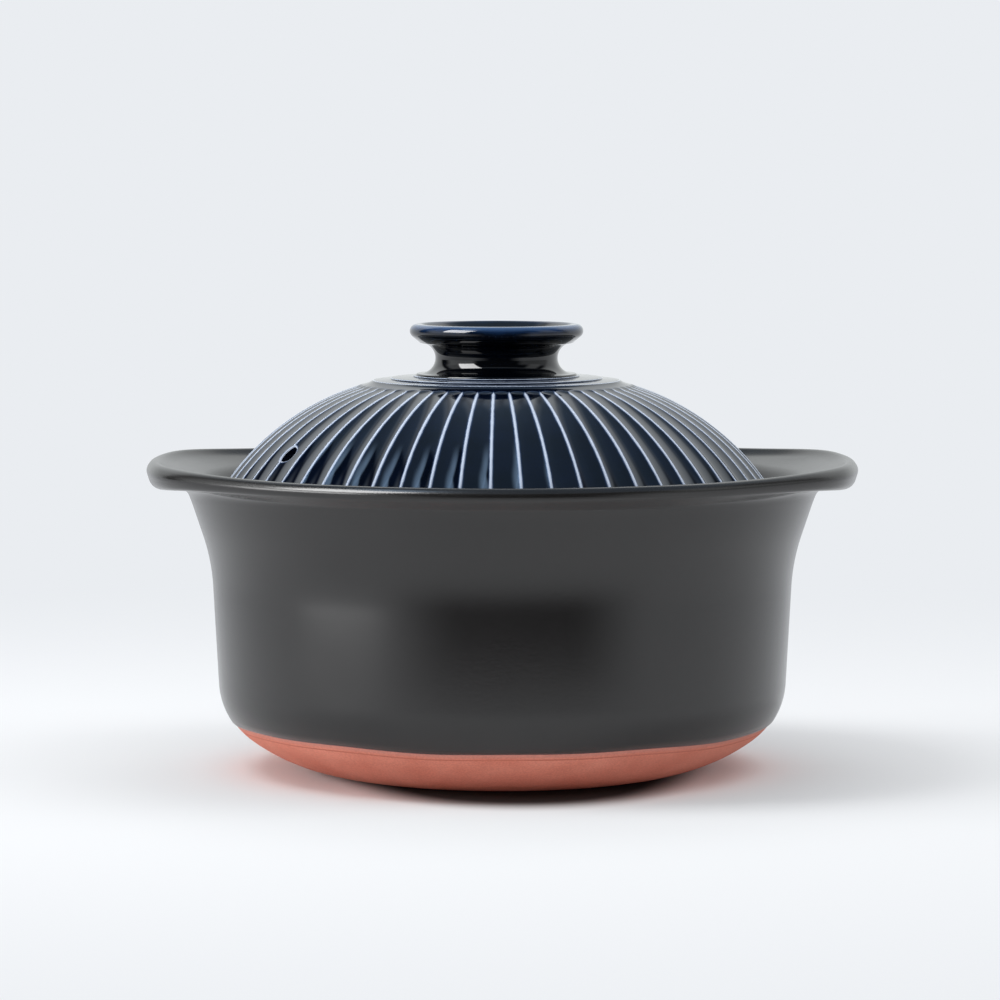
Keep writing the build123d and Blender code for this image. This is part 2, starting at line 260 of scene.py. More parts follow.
def finish(name, **sockets):
    """A material with one Principled shader, and the node tree that feeds it."""
    material = bpy.data.materials.new(name)
    material.use_nodes = True
    shader = material.node_tree.nodes["Principled BSDF"]
    for socket, value in sockets.items():
        shader.inputs[socket.replace("_", " ")].default_value = value
    return material, material.node_tree, shader


def feed(tree, shader, **links):
    """Links sockets of other nodes to the shader's."""
    for socket, source in links.items():
        tree.links.new(source, shader.inputs[socket.replace("_", " ")])


# The glaze's lower edge: its height, and its waves as a count round the pot, a size and a start
glaze_height = 16.6
glaze_waves = [(2, 0.35, 0.4), (5, 0.3, 1.0), (11, 0.16, 0.0)]


def glaze_line(turn):
    """Height of the glaze's lower edge: a level and the slow waves of dipping and wiping by hand,
    each size * sin(count * turn + start)."""
    return glaze_height + sum(size * np.sin(count * turn + start) for count, size, start in glaze_waves)


turn = np.linspace(0, 2 * np.pi, pot_columns, endpoint=False)
clay_rows = pot_rows(0, 0 * turn, turn, side_rows=90)
foot_middle = clay_rows[:1] * [0, 1]
clay_rows = np.concatenate([foot_middle, clay_rows])
# Readings grow towards the glaze's lower edge, so that they are nought on the pieces without one
full_reading = 20.0
near_line = full_reading + clay_rows[..., 1] - glaze_line(turn)
pot_clay = round_piece("pot_clay", in_space(clay_rows, turn), near_line=near_line)

# Fired red clay: matt and gritty, faintly ringed by the trimming, and paler where it was wiped clean
# under the glaze, down to a thin darker line. Its grit is drawn coarser than it is, so that it shows.
grit_size, clay_cloud_size = 0.71429, 16.6667
ring_spacing, ring_length = 1.11111, 125.0
wiped_gone, wiped_whole = 1.5, 0.5
line_drop, line_half_width = 1.9, 0.25

red_clay, tree, shader = finish("red_clay", Roughness=0.82, Specular_IOR_Level=0.3)
place = add(tree, "ShaderNodeTexCoord").outputs["Object"]
near = add(tree, "ShaderNodeAttribute", attribute_name="near_line").outputs["Fac"]
grit = {"Vector": place, "Scale": 1000 / grit_size, "Detail": 3.0}
grit = add(tree, "ShaderNodeTexNoise", grit).outputs["Fac"]
cloud = {"Vector": place, "Scale": 1000 / clay_cloud_size, "Detail": 3.0}
cloud = add(tree, "ShaderNodeTexNoise", cloud).outputs["Fac"]
ring_scale = (1000 / ring_length, 1000 / ring_length, 1000 / ring_spacing)
stretched = add(tree, "ShaderNodeMapping", {"Vector": place, "Scale": ring_scale}).outputs["Vector"]
rings = add(tree, "ShaderNodeTexNoise", {"Vector": stretched, "Scale": 1.0, "Detail": 2.0}).outputs["Fac"]
body = add(tree, "ShaderNodeValToRGB", {"Fac": cloud}, [(0.3, "#CC7A66"), (0.7, "#D88A76")])
wiped = {"Value": near, "From Min": full_reading - wiped_gone, "From Max": full_reading - wiped_whole}
wiped = add(tree, "ShaderNodeMapRange", wiped).outputs["Result"]
banded = {"Factor": wiped, 6: body.outputs["Color"], 7: colour("#C88476")}
banded = add(tree, "ShaderNodeMix", banded, data_type="RGBA").outputs[2]
on_line = {0: near, 1: full_reading - line_drop, 2: line_half_width}
on_line = add(tree, "ShaderNodeMath", on_line, operation="COMPARE").outputs[0]
on_line = add(tree, "ShaderNodeMath", {0: on_line, 1: cloud}, operation="MULTIPLY").outputs[0]
lined = {"Factor": on_line, 6: banded, 7: colour("#A85442")}
lined = add(tree, "ShaderNodeMix", lined, data_type="RGBA").outputs[2]
speck = {"Value": grit, "From Min": 0.35, "From Max": 0.65, "To Min": 0.9, "To Max": 1.06}
speck = add(tree, "ShaderNodeMapRange", speck).outputs["Result"]
specked = add(tree, "ShaderNodeVectorMath", {0: lined, "Scale": speck}, operation="SCALE")
rough = add(tree, "ShaderNodeBump", {"Height": grit, "Strength": 0.35, "Distance": 0.0003})
ringed = {"Height": rings, "Strength": 0.25, "Distance": 0.0004, "Normal": rough.outputs["Normal"]}
ringed = add(tree, "ShaderNodeBump", ringed)
feed(tree, shader, Base_Color=specked.outputs["Vector"], Normal=ringed.outputs["Normal"])

pot_clay.data.materials.append(red_clay)
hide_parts("pot_body")
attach(pot_clay, "pot")


# The pot's glaze: a satin black coat half a millimetre thick, poured inside and dipped outside down
# to the line above the foot, where it ends in a soft bead. It is melted fast to the clay.

coat_thickness = 0.5
hidden_depth = 0.4
bead_height, bead_gap = 0.9, 0.05


def bead_rows(turn):
    """The coat's lower edge, a quarter round from inside the clay out to the full thickness: it rises
    by bead * (1 - cos) while it comes out by thickness * sin."""
    angle = np.radians(np.linspace(0, 90, 7))[:, None]
    heights = glaze_line(turn) + bead_height * (1 - np.cos(angle))
    side = pot_side(0)
    coat = -hidden_depth + (coat_thickness + hidden_depth) * np.sin(angle)
    return np.stack([np.interp(heights, side[:, 1], side[:, 0]) + coat, heights], -1)


outer_rows = pot_rows(coat_thickness, glaze_line(turn) + bead_height + bead_gap, turn)
hidden_rows = pot_rows(-hidden_depth, glaze_line(turn), turn, side_rows=12)[::-1]
glaze_rows = np.concatenate([hidden_rows[:-1], bead_rows(turn), outer_rows])
near_edge = full_reading - glaze_rows[..., 1] + glaze_line(turn)
pot_glaze_coat = round_piece("pot_glaze_coat", in_space(glaze_rows, turn), near_edge=near_edge)

# Satin black glaze, melted in the kiln: a warm grey black with a silky skin, cloudy in its sheen, and
# browner where it thins at its edge. Its fine ripple is drawn coarser than it is, so that it shows.
glaze_cloud_size, ripple_size = 28.5714, 1.11111
brown_gone, brown_whole = 1.0, 0.3

black_glaze, tree, shader = finish("satin_black_glaze", IOR=1.55)
place = add(tree, "ShaderNodeTexCoord").outputs["Object"]
cloud = {"Vector": place, "Scale": 1000 / glaze_cloud_size, "Detail": 4.0}
cloud = add(tree, "ShaderNodeTexNoise", cloud).outputs["Fac"]
ripple = {"Vector": place, "Scale": 1000 / ripple_size, "Detail": 2.0}
ripple = add(tree, "ShaderNodeTexNoise", ripple).outputs["Fac"]
near = add(tree, "ShaderNodeAttribute", attribute_name="near_edge").outputs["Fac"]
body = add(tree, "ShaderNodeValToRGB", {"Fac": cloud}, [(0.3, "#191818"), (0.7, "#1D1C1C")])
brown = {"Value": near, "From Min": full_reading - brown_gone, "From Max": full_reading - brown_whole}
brown = add(tree, "ShaderNodeMapRange", brown).outputs["Result"]
edged = {"Factor": brown, 6: body.outputs["Color"], 7: colour("#4A3430")}
edged = add(tree, "ShaderNodeMix", edged, data_type="RGBA").outputs[2]
skin = add(tree, "ShaderNodeBump", {"Height": ripple, "Strength": 0.08, "Distance": 0.0002})
sheen = add(tree, "ShaderNodeMapRange", {"Value": cloud, "To Min": 0.19, "To Max": 0.24})
feed(tree, shader, Base_Color=edged, Normal=skin.outputs["Normal"], Roughness=sheen.outputs["Result"])

pot_glaze_coat.data.materials.append(black_glaze)
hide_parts("pot_glaze")
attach(pot_glaze_coat, "pot")


# The lid and its knob: red clay again, thrown, the dome carved in hollow flutes with a round gouge,
# and the knob luted on with slip. Glaze hides both but for the seat ring under the lid's edge.

for node in ("lid_body", "lid_knob"):
    clay_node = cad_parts[node]
    clay_node.data.materials.clear()
    clay_node.data.materials.append(red_clay)


# The lid's glaze: a glossy deep blue, fluid enough to run off every ridge, where it breaks pale, and
# to pool dark in the flutes. It covers dome, crown and edge down to the wiped seat.

lid_shift = -2.0
dome_centre, dome_radius = (23.025, 51.0), 85.0
flute_count, first_ridge = 56, -91.2
gouge_radius, ball_stretch = 12.6, 1.05
ridge_drop, soft_drop = 0.1, 0.03
flute_start, flute_margin = 49.0, 1.0
crown_edge = 44.73
lid_edge, lid_edge_margin = 96.55, 0.6
seat_edge_height = 90.9
hole_bearing, hole_ring, hole_radius = -149.06, 82.15, 3.45
crown_steps = [(43.6, 133.62), (42.5, 134.35), (36.5, 134.7), (36.5, 135.2), (28.7, 135.5), (28.7, 136.0)]
crown_rounds = [0.4, 0.28, 0.14, 0.24, 0.14, 0.24]

# Shares of half a flute at which columns lie, from a ridge to the flute's middle, and shares of the
# way at which rows lie, from the crown's edge to the scallops and from there to the whole flutes
column_shares = np.array([0, 0.05, 0.12, 0.26, 0.48, 0.74, 1.0])
crown_row_shares = (0, 0.35, 0.7, 0.9)
scallop_row_shares = (0, 0.06, 0.15, 0.3, 0.5, 0.75)


def flute_columns():
    """Bearings of the columns over a full turn, closer together near each ridge."""
    half = column_shares / 2
    one = np.concatenate([half, 1 - half[-2:0:-1]])
    return np.radians(first_ridge + (np.arange(flute_count)[:, None] + one) * 360 / flute_count).reshape(-1)


def from_ridge(bearing):
    """Turns, in flutes, from the nearest ridge: 0 on a ridge and 0.5 in a flute's middle."""
    place = (np.degrees(bearing) - first_ridge) * flute_count / 360
    return np.abs(place - np.round(place))


def gouge_depth(half_width):
    """How deep the gouge's circle goes between two ridges: gouge - sqrt(gouge^2 - half width^2)."""
    return gouge_radius - np.sqrt(gouge_radius**2 - half_width**2)


def flute_depth(radius, bearing):
    """How far the dome lies under its arc. Across a flute it is the gouge's circle, which meets the
    next flute's at the ridge: sqrt(gouge^2 - half pitch^2) - sqrt(gouge^2 - across^2). Above the
    flute's start it is the gouge's ball. Where that would rise over the arc it is rounded to zero."""
    half_pitch = radius * np.pi / flute_count
    across = (0.5 - from_ridge(bearing)) * 2 * half_pitch
    start_half = flute_start * np.pi / flute_count
    deepest = gouge_depth(np.where(radius < flute_start, start_half, half_pitch))
    back = np.maximum(flute_start - radius, 0) * ball_stretch
    cut = deepest + ridge_drop - gouge_radius + np.sqrt(gouge_radius**2 - across**2 - back**2)
    return soft_drop * np.logaddexp(0, cut / soft_drop)


def dome_place(radius, bearing):
    """A point of the fluted dome: centre + (dome radius - depth) * (cos, sin) of its slope angle."""
    angle = np.arccos(np.clip((radius - dome_centre[0]) / dome_radius, -1, 1))
    arm = dome_radius - flute_depth(radius, bearing)
    return np.stack([dome_centre[0] + arm * np.cos(angle), dome_centre[1] + arm * np.sin(angle)], -1)


def scallop_edge(bearing):
    """Radius at which each flute's round top begins: flute start - sqrt(ball^2 - across^2), where the
    ball is as wide as the gouge's cut at the arc, and the root stays over a small value."""
    start_half = flute_start * np.pi / flute_count
    deepest = gouge_depth(start_half) + ridge_drop
    ball = np.sqrt(gouge_radius**2 - (gouge_radius - deepest) ** 2)
    across = (0.5 - from_ridge(bearing)) * 2 * start_half
    return flute_start - np.sqrt(np.maximum(ball**2 - across**2, 0.05)) / ball_stretch


# The steam hole's place in the grid: columns and rows that it takes up to either side, and how many
# times that far the grid round it is pushed out
row_step = np.radians(0.5)
hole_block = (4, 3)
hole_reach = 3.2
hole_bend = 0.55
hole_edge_radius = hole_radius + hole_bend
hole_depths = (1.2, 2.5, 7.0)


def slope_angle(radius):
    """Angle of the dome's arc at a radius, from level."""
    return np.arccos((radius - dome_centre[0]) / dome_radius)


def lid_plan():
    """Radius and bearing of every point of the dome's grid: rows from the crown's edge to the
    scallops' edge, to the flutes' start and down to the lid's edge, one of them through the hole."""
    bearing = flute_columns()
    scallops = scallop_edge(bearing)
    whole = flute_start + flute_margin
    rows = [crown_edge + (scallops - crown_edge) * share for share in crown_row_shares]
    rows += [scallops + (whole - scallops) * share for share in scallop_row_shares]
    above = np.floor((slope_angle(whole) - slope_angle(hole_ring)) / row_step)
    below = np.floor((slope_angle(hole_ring) - slope_angle(lid_edge - lid_edge_margin)) / row_step)
    for angle in slope_angle(hole_ring) - row_step * np.arange(-above, below + 1):
        rows.append(dome_centre[0] + dome_radius * np.cos(angle) + 0 * bearing)
    hole_row = len(rows) - 1 - int(below)
    return np.array(rows), np.broadcast_to(bearing, (len(rows), len(bearing))).copy(), hole_row


def opened(radius, bearing, hole_row):
    """The dome's grid with its squares round the steam hole pushed out into rings. In a square's own
    measure q, 1 on the block's edge, a point goes from distance d to (1 - t) * edge radius + t * d,
    where t runs from 0 on the block to 1 at the hole's reach."""
    turned = (bearing - np.radians(hole_bearing) + np.pi) % (2 * np.pi) - np.pi
    across = turned * hole_ring
    along = (slope_angle(hole_ring) - slope_angle(radius)) * dome_radius
    middle = np.argmin(np.abs(turned[hole_row]))
    half_width = abs(across[hole_row, middle + hole_block[0]])
    half_length = row_step * dome_radius * hole_block[1]
    measure = np.maximum(np.abs(across) / half_width, np.abs(along) / half_length)
    share = np.clip((measure - 1) / (hole_reach - 1), 0, 1)
    distance = np.maximum(np.hypot(across, along), 1e-6)
    near = measure < hole_reach
    stretch = np.where(near, ((1 - share) * hole_edge_radius + share * distance) / distance, 1)
    new_angle = slope_angle(hole_ring) - along * stretch / dome_radius
    radius = np.where(near, dome_centre[0] + dome_radius * np.cos(new_angle), radius)
    bearing = np.where(near, np.radians(hole_bearing) + across * stretch / hole_ring, bearing)
    return radius, bearing, measure <= 1.0001


radius, bearing, hole_row = lid_plan()
columns = bearing[0].copy()
even = np.ones_like(columns)
radius, bearing, in_hole = opened(radius, bearing, hole_row)
dome_rows = dome_place(radius, bearing)[::-1]

# Above the flutes' start the distance from a ridge counts for more, so that its pale line fades
ridge_end, ridge_fade = flute_start - 0.5, 0.3
ridge_distance = from_ridge(bearing) * 2 * np.pi / flute_count * radius
ridge_distance = (ridge_distance + ridge_fade * np.maximum(ridge_end - radius, 0))[::-1]

# Up the lid's edge to the dome: how far out from its radius, and the height
dome_foot = dome_rows[0]
edge_places = [
    (-1.4, seat_edge_height + 0.1),
    (-0.4, seat_edge_height),
    (-0.05, seat_edge_height + 0.3),
    (0.05, (dome_foot[:, 1] + seat_edge_height) / 2),
    (0.02, dome_foot[:, 1] - 0.8),
]
edge_rows = [np.stack([(lid_edge + out) * even, height * even], -1) for out, height in edge_places]
edge_rows = np.array(edge_rows + [dome_foot + [0.3, -0.35]])

crown_corners = [dome_rows[-1]] + [np.array(step) * even[:, None] for step in crown_steps]
crown_corners += [np.array((0, crown_steps[-1][1])) * even[:, None]]
crown_bends = [np.full((len(columns), 1), size) for size in crown_rounds]
crown_rows = rounded(np.stack(crown_corners), crown_bends, points=5, between=2)[1:]


def step_distance(rows):
    """Distance of each point of the crown from the nearest of its turned edges."""
    edges = np.array(crown_steps[1::2])
    return np.linalg.norm(rows[..., None, :] - edges, axis=-1).min(-1)


# The coat's hidden side lies inside the clay, so that the skin is a closed one
under_path = np.array([(0.0, 132.0), (42.0, 131.6), (60.0, 125.0), (78.0, 111.0), (94.5, 92.5)])
under_rows = under_path[:, None] * np.ones((1, len(columns), 1))
lid_parts = (under_rows, edge_rows, dome_rows, crown_rows)
far = 9.0


def over_the_lid(under=far, edge=far, dome=far, crown=far):
    """Values for every point of the lid's grid, part by part from its hidden side to its crown, with
    the reading of a far off edge where none is given."""
    values = zip((under, edge, dome, crown), lid_parts)
    return np.concatenate([np.broadcast_to(value, part.shape[:2]) for value, part in values])


lid_bearing = over_the_lid(columns, columns, bearing[::-1], columns)
lid_grid = in_space(np.concatenate(lid_parts), lid_bearing, lid_shift)
hollow = over_the_lid(False, False, in_hole[::-1], False)
lid_faces = grid_faces(lid_grid)
inside = hollow.reshape(-1)[lid_faces].all(1)
hole_faces, lid_faces = lid_faces[inside], lid_faces[~inside]

# The steam hole, pierced square to the dome: its rim is the edge of the faces left out, carried
# round a small bend and down to the lid's underside
hole_turn, slope = np.radians(hole_bearing), slope_angle(hole_ring)
outward = np.array([np.cos(slope) * np.cos(hole_turn), np.cos(slope) * np.sin(hole_turn), np.sin(slope)])
sideways = np.array([-np.sin(hole_turn), np.cos(hole_turn), 0.0])
upwards = np.cross(outward, sideways)
dome_ring = dome_centre[0] * np.array([np.cos(hole_turn), np.sin(hole_turn), 0.0])
hole_middle = dome_ring + dome_radius * outward + [lid_shift, 0.0, dome_centre[1]]
lid_points = lid_grid.reshape(-1, 3)
rim = np.intersect1d(hole_faces, lid_faces)
offset = lid_points[rim] - hole_middle
rise = offset @ outward
flat = offset - rise[:, None] * outward
flat /= np.linalg.norm(flat, axis=1)[:, None]
order = np.argsort(np.arctan2(flat @ upwards, flat @ sideways))
rim, flat, rise = rim[order], flat[order], rise[order]
bend = np.radians([30, 60, 90])
tube = [(hole_edge_radius - hole_bend * np.sin(angle), hole_bend * (1 - np.cos(angle))) for angle in bend]
tube += [(hole_radius, depth) for depth in hole_depths]
rings, ring_numbers = [lid_points], [rim]
for number, (size, depth) in enumerate(tube):
    rings.append(hole_middle + flat * size + outward * (rise - depth)[:, None])
    ring_numbers.append(len(lid_points) + number * len(rim) + np.arange(len(rim)))
for upper, lower in zip(ring_numbers, ring_numbers[1:]):
    quads = np.stack([upper, lower, np.roll(lower, -1), np.roll(upper, -1)], -1)
    lid_faces = np.concatenate([lid_faces, quads])

# Distances from the edges on which the glaze runs thin. On the crown's steps the pale line is also a painted
# highlight.
# The hole's bend is thin all over, and the tube is far from every other edge
readings = {
    "ridge": over_the_lid(edge=ridge_distance[0], dome=ridge_distance),
    "step": over_the_lid(crown=step_distance(crown_rows)),
    "scallop": over_the_lid(dome=np.abs(radius - scallop_edge(bearing))[::-1]),
}
tube_points = len(tube) * len(rim)
readings = {name: np.append(values, np.full(tube_points, far)) for name, values in readings.items()}
hole_rim_radius = hole_radius + 0.2
from_hole = np.abs(np.linalg.norm(lid_points - hole_middle, axis=1) - hole_rim_radius)
on_bend = np.arange(tube_points) < len(bend) * len(rim)
readings["hole"] = np.append(from_hole, np.where(on_bend, 0.0, far))
lid_glaze_coat = piece_of("lid_glaze_coat", np.concatenate(rings), lid_faces, **readings)

# Deep blue glaze, melted to a gloss: navy, nearly black where thick, breaking to a pale blue white on
# the ridges. Each edge has a width over which it is thin, and how pale it gets. On the crown's step
# edges the pale line is partly thin glaze and partly a painted highlight.
blue_cloud_size, wander_size = 11.1111, 4.54545
# The step edges' full paleness is partly glaze run thin and partly painted highlight
thin_edges = [("ridge", 0.78, 1.0), ("scallop", 0.4, 0.42), ("step", 0.3, 1.0), ("hole", 0.75, 1.0)]


def thin_at(tree, reading, width, wander):
    """How thin the glaze has run near an edge: 1 on it, falling as exp(-(distance / width)^2), over a
    width that wanders by 0.3 of itself."""
    distance = add(tree, "ShaderNodeAttribute", attribute_name=reading).outputs["Fac"]
    spread = {"Value": wander, "To Min": 0.7 * width, "To Max": 1.3 * width}
    spread = add(tree, "ShaderNodeMapRange", spread).outputs["Result"]
    share = add(tree, "ShaderNodeMath", {0: distance, 1: spread}, operation="DIVIDE").outputs[0]
    square = add(tree, "ShaderNodeMath", {0: share, 1: 2.0}, operation="POWER").outputs[0]
    minus = add(tree, "ShaderNodeMath", {0: square, 1: -1.0}, operation="MULTIPLY").outputs[0]
    return add(tree, "ShaderNodeMath", {0: minus}, operation="EXPONENT").outputs[0]


cool_tint = colour("#E4F1FF")
blue_glaze, tree, shader = finish("deep_blue_glaze", Roughness=0.07, IOR=1.52, Specular_Tint=cool_tint)
place = add(tree, "ShaderNodeTexCoord").outputs["Object"]
cloud = {"Vector": place, "Scale": 1000 / blue_cloud_size, "Detail": 4.0}
cloud = add(tree, "ShaderNodeTexNoise", cloud).outputs["Fac"]
wander = {"Vector": place, "Scale": 1000 / wander_size, "Detail": 2.0}
wander = add(tree, "ShaderNodeTexNoise", wander).outputs["Fac"]
body = add(tree, "ShaderNodeValToRGB", {"Fac": cloud}, [(0.3, "#02060F"), (0.7, "#050C1D")])
thin = 0.0
for reading, width, paleness in thin_edges:
    share = thin_at(tree, reading, width, wander)
    share = add(tree, "ShaderNodeMath", {0: share, 1: paleness}, operation="MULTIPLY").outputs[0]
    thin = add(tree, "ShaderNodeMath", {0: thin, 1: share}, operation="MAXIMUM").outputs[0]
broken_stops = [(0.12, "#060D20"), (0.5, "#2B4670"), (0.88, "#C4D1E6")]
broken = add(tree, "ShaderNodeValToRGB", {"Fac": thin}, broken_stops)
mixed = {"Factor": thin, 6: body.outputs["Color"], 7: broken.outputs["Color"]}
mixed = add(tree, "ShaderNodeMix", mixed, data_type="RGBA").outputs[2]
feed(tree, shader, Base_Color=mixed)

lid_glaze_coat.data.materials.append(blue_glaze)
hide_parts("lid_glaze")
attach(lid_glaze_coat, "lid")


# The knob's glaze: the same deep blue, over a thrown knob with a round finger groove under its lip
# and a dished top. It pools black in the groove and thins to a brighter blue round the lip.

knob_columns = 160
knob_foot = [(0, 135.6), (27.6, 135.6), (27.7, 135.9), (27.7, 136.3), (27.4, 136.6), (27.0, 136.62)]
knob_groove, knob_groove_radius = (26.4, 141.9), 5.3
knob_lip, knob_lip_radius = (27.5, 151.2), 2.4
knob_dish_radius, knob_dish_floor = 44.1, 145.1
thin_ring_out, thin_ring_width = 0.7, 1.9


def arc(centre, size, start, end, points):
    """Points of a circle's arc: centre + size * (cos, sin) from one angle to another, in degrees."""
    angle = np.radians(np.linspace(start, end, points))
    return np.array(centre) + size * np.stack([np.cos(angle), np.sin(angle)], -1)


dish_centre = (0, knob_dish_floor + knob_dish_radius)
lip_top = knob_lip[1] + knob_lip_radius
dish_edge = np.degrees(np.arccos((dish_centre[1] - lip_top) / knob_dish_radius))
knob_path = np.concatenate(
    [
        knob_foot,
        arc(knob_groove, knob_groove_radius, -90, -270, 30),
        arc(knob_lip, knob_lip_radius, -50, 90, 22),
        arc(dish_centre, knob_dish_radius, dish_edge - 90, -90, 34),
    ]
)
knob_turn = np.linspace(0, 2 * np.pi, knob_columns, endpoint=False)
knob_rows = knob_path[:, None] * np.ones((1, knob_columns, 1))
from_lip = np.linalg.norm(knob_rows - np.array([knob_lip[0] + thin_ring_out, lip_top]), axis=-1)
knob_glaze_coat = round_piece("knob_glaze_coat", in_space(knob_rows, knob_turn, lid_shift), lip=from_lip)

# The same melted blue glaze without ridges: nearly black, and a clearer blue where it thins on the lip
knob_cloud_size = 8.33333
knob_glaze, tree, shader = finish("deep_blue_knob_glaze", Roughness=0.06, IOR=1.52)
place = add(tree, "ShaderNodeTexCoord").outputs["Object"]
cloud = {"Vector": place, "Scale": 1000 / knob_cloud_size, "Detail": 3.0}
cloud = add(tree, "ShaderNodeTexNoise", cloud).outputs["Fac"]
thin = thin_at(tree, "lip", thin_ring_width, cloud)
lip_stops = [(0.02, "#02040A"), (0.45, "#193358"), (1.0, "#3F5A80")]
lip_colour = add(tree, "ShaderNodeValToRGB", {"Fac": thin}, lip_stops).outputs["Color"]
feed(tree, shader, Base_Color=lip_colour)

knob_glaze_coat.data.materials.append(knob_glaze)
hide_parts("lid_glaze")
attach(knob_glaze_coat, "lid")


# The lining under the lid: the pot's satin black glaze, poured in and swilled round inside the seat
# ring, which is wiped bare so that the lid doesn't fire fast to its ledge.

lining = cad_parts["lid_lining"]
lining.data.materials.clear()
lining.data.materials.append(black_glaze)


# The studio: a pale table that fades into the backdrop, soft boxes round it, and the surroundings
# that only the gloss shows. None of it is part of the pot. Lengths here are metres.

floor_half_side = 6.0
floor_colour, backdrop_colour = colour("#ECEEF0"), colour("#EAEDF1")
fade_start, fade_end, fade_power = 0.09, 0.65, 0.6
# Middle and reach of the painted contact shadow on the table
shade_middle, shade_reach = (0.006, -0.028, 0.0), (0.05, 0.065, 1.0)
dark_room_strength = 0.02


def between(tree, value, low, soft_low, high, soft_high):
    """A smooth window: 1 where the value lies between low and high, 0 beyond, each end soft."""
    up = {"Value": value, "From Min": low - soft_low, "From Max": low + soft_low}
    down = {"Value": value, "From Min": high - soft_high, "From Max": high + soft_high}
    down |= {"To Min": 1.0, "To Max": 0.0}
    edges = [add(tree, "ShaderNodeMapRange", ends, interpolation_type="SMOOTHSTEP") for ends in (up, down)]
    sides = {0: edges[0].outputs["Result"], 1: edges[1].outputs["Result"]}
    return add(tree, "ShaderNodeMath", sides, operation="MULTIPLY").outputs[0]


def bearing_from_front(tree, direction):
    """Degrees round from the front, positive to the right: arctan2(x, -y)."""
    parts = add(tree, "ShaderNodeSeparateXYZ", {0: direction})
    front = add(tree, "ShaderNodeMath", {0: parts.outputs["Y"], 1: -1.0}, operation="MULTIPLY")
    angle = add(tree, "ShaderNodeMath", {0: parts.outputs["X"], 1: front.outputs[0]}, operation="ARCTAN2")
    return add(tree, "ShaderNodeMath", {0: angle.outputs[0]}, operation="DEGREES").outputs[0]


floor_mesh = bpy.data.meshes.new("floor")
floor_corners = [(-1, -1), (1, -1), (1, 1), (-1, 1)]
floor_corners = [(x * floor_half_side, y * floor_half_side, 0) for x, y in floor_corners]
floor_mesh.from_pydata(floor_corners, [], [(0, 1, 2, 3)])
floor = bpy.data.objects.new("floor", floor_mesh)
bpy.context.collection.objects.link(floor)
floor_paper, tree, shader = finish("floor_paper", Roughness=0.9, Specular_IOR_Level=0.0)
place = add(tree, "ShaderNodeTexCoord").outputs["Object"]
distance = add(tree, "ShaderNodeVectorMath", {0: place}, operation="LENGTH").outputs["Value"]
far_off = {"Value": distance, "From Min": fade_start, "From Max": fade_end}
far_off = add(tree, "ShaderNodeMapRange", far_off).outputs["Result"]
fade = add(tree, "ShaderNodeMath", {0: far_off, 1: fade_power}, operation="POWER").outputs[0]
rays = add(tree, "ShaderNodeLightPath").outputs
seen = add(tree, "ShaderNodeMath", {0: rays["Is Camera Ray"], 1: rays["Is Glossy Ray"]}, operation="MAXIMUM")
seen = {0: seen.outputs[0], 1: rays["Is Transmission Ray"]}
seen = add(tree, "ShaderNodeMath", seen, operation="MAXIMUM").outputs[0]
paper_share = add(tree, "ShaderNodeMath", {0: fade, 1: seen}, operation="MULTIPLY").outputs[0]
# A painted contact shadow: under the foot and in front of it, away from the lamps, the table's colour is
# darkened for the eye alone
shade = add(tree, "ShaderNodeVectorMath", {0: place, 1: shade_middle}, operation="SUBTRACT")
shade = {0: shade.outputs["Vector"], 1: shade_reach}
shade = add(tree, "ShaderNodeVectorMath", shade, operation="DIVIDE").outputs["Vector"]
shade = add(tree, "ShaderNodeVectorMath", {0: shade}, operation="LENGTH").outputs["Value"]
shade = {"Value": shade, "From Min": 0.85, "From Max": 1.25, "To Min": 0.94, "To Max": 0.0}
shade = add(tree, "ShaderNodeMapRange", shade, interpolation_type="SMOOTHSTEP").outputs["Result"]
shade = add(tree, "ShaderNodeMath", {0: shade, 1: rays["Is Camera Ray"]}, operation="MULTIPLY").outputs[0]
light = add(tree, "ShaderNodeMath", {0: 1.0, 1: shade}, operation="SUBTRACT").outputs[0]
shaded = add(tree, "ShaderNodeVectorMath", {0: floor_colour[:3], "Scale": light}, operation="SCALE")
feed(tree, shader, Base_Color=shaded.outputs["Vector"])
glow = add(tree, "ShaderNodeEmission", {"Color": backdrop_colour, "Strength": 1.0}).outputs[0]
surface = {0: paper_share, 1: shader.outputs[0], 2: glow}
surface = add(tree, "ShaderNodeMixShader", surface).outputs[0]
# The table ends in front, and past its edge the gloss shows the dark room
past_edge = between(tree, distance, 0.28, 0.06, 90.0, 1.0)
to_front = between(tree, bearing_from_front(tree, place), -29.0, 18.0, 38.0, 15.0)
room_share = add(tree, "ShaderNodeMath", {0: past_edge, 1: to_front}, operation="MULTIPLY").outputs[0]
room_share = {0: room_share, 1: rays["Is Glossy Ray"]}
room_share = add(tree, "ShaderNodeMath", room_share, operation="MULTIPLY").outputs[0]
dark = add(tree, "ShaderNodeEmission", {"Color": backdrop_colour, "Strength": dark_room_strength})
surface = {0: room_share, 1: surface, 2: dark.outputs[0]}
surface = add(tree, "ShaderNodeMixShader", surface).outputs[0]
# Seen from below the table lets the eye through, so that the foot and the lid's lining show
below = {0: add(tree, "ShaderNodeNewGeometry").outputs["Backfacing"], 1: rays["Is Camera Ray"]}
below = add(tree, "ShaderNodeMath", below, operation="MULTIPLY").outputs[0]
clear = add(tree, "ShaderNodeBsdfTransparent").outputs[0]
surface = add(tree, "ShaderNodeMixShader", {0: below, 1: surface, 2: clear}).outputs[0]
tree.links.new(surface, tree.nodes["Material Output"].inputs["Surface"])
floor_mesh.materials.append(floor_paper)

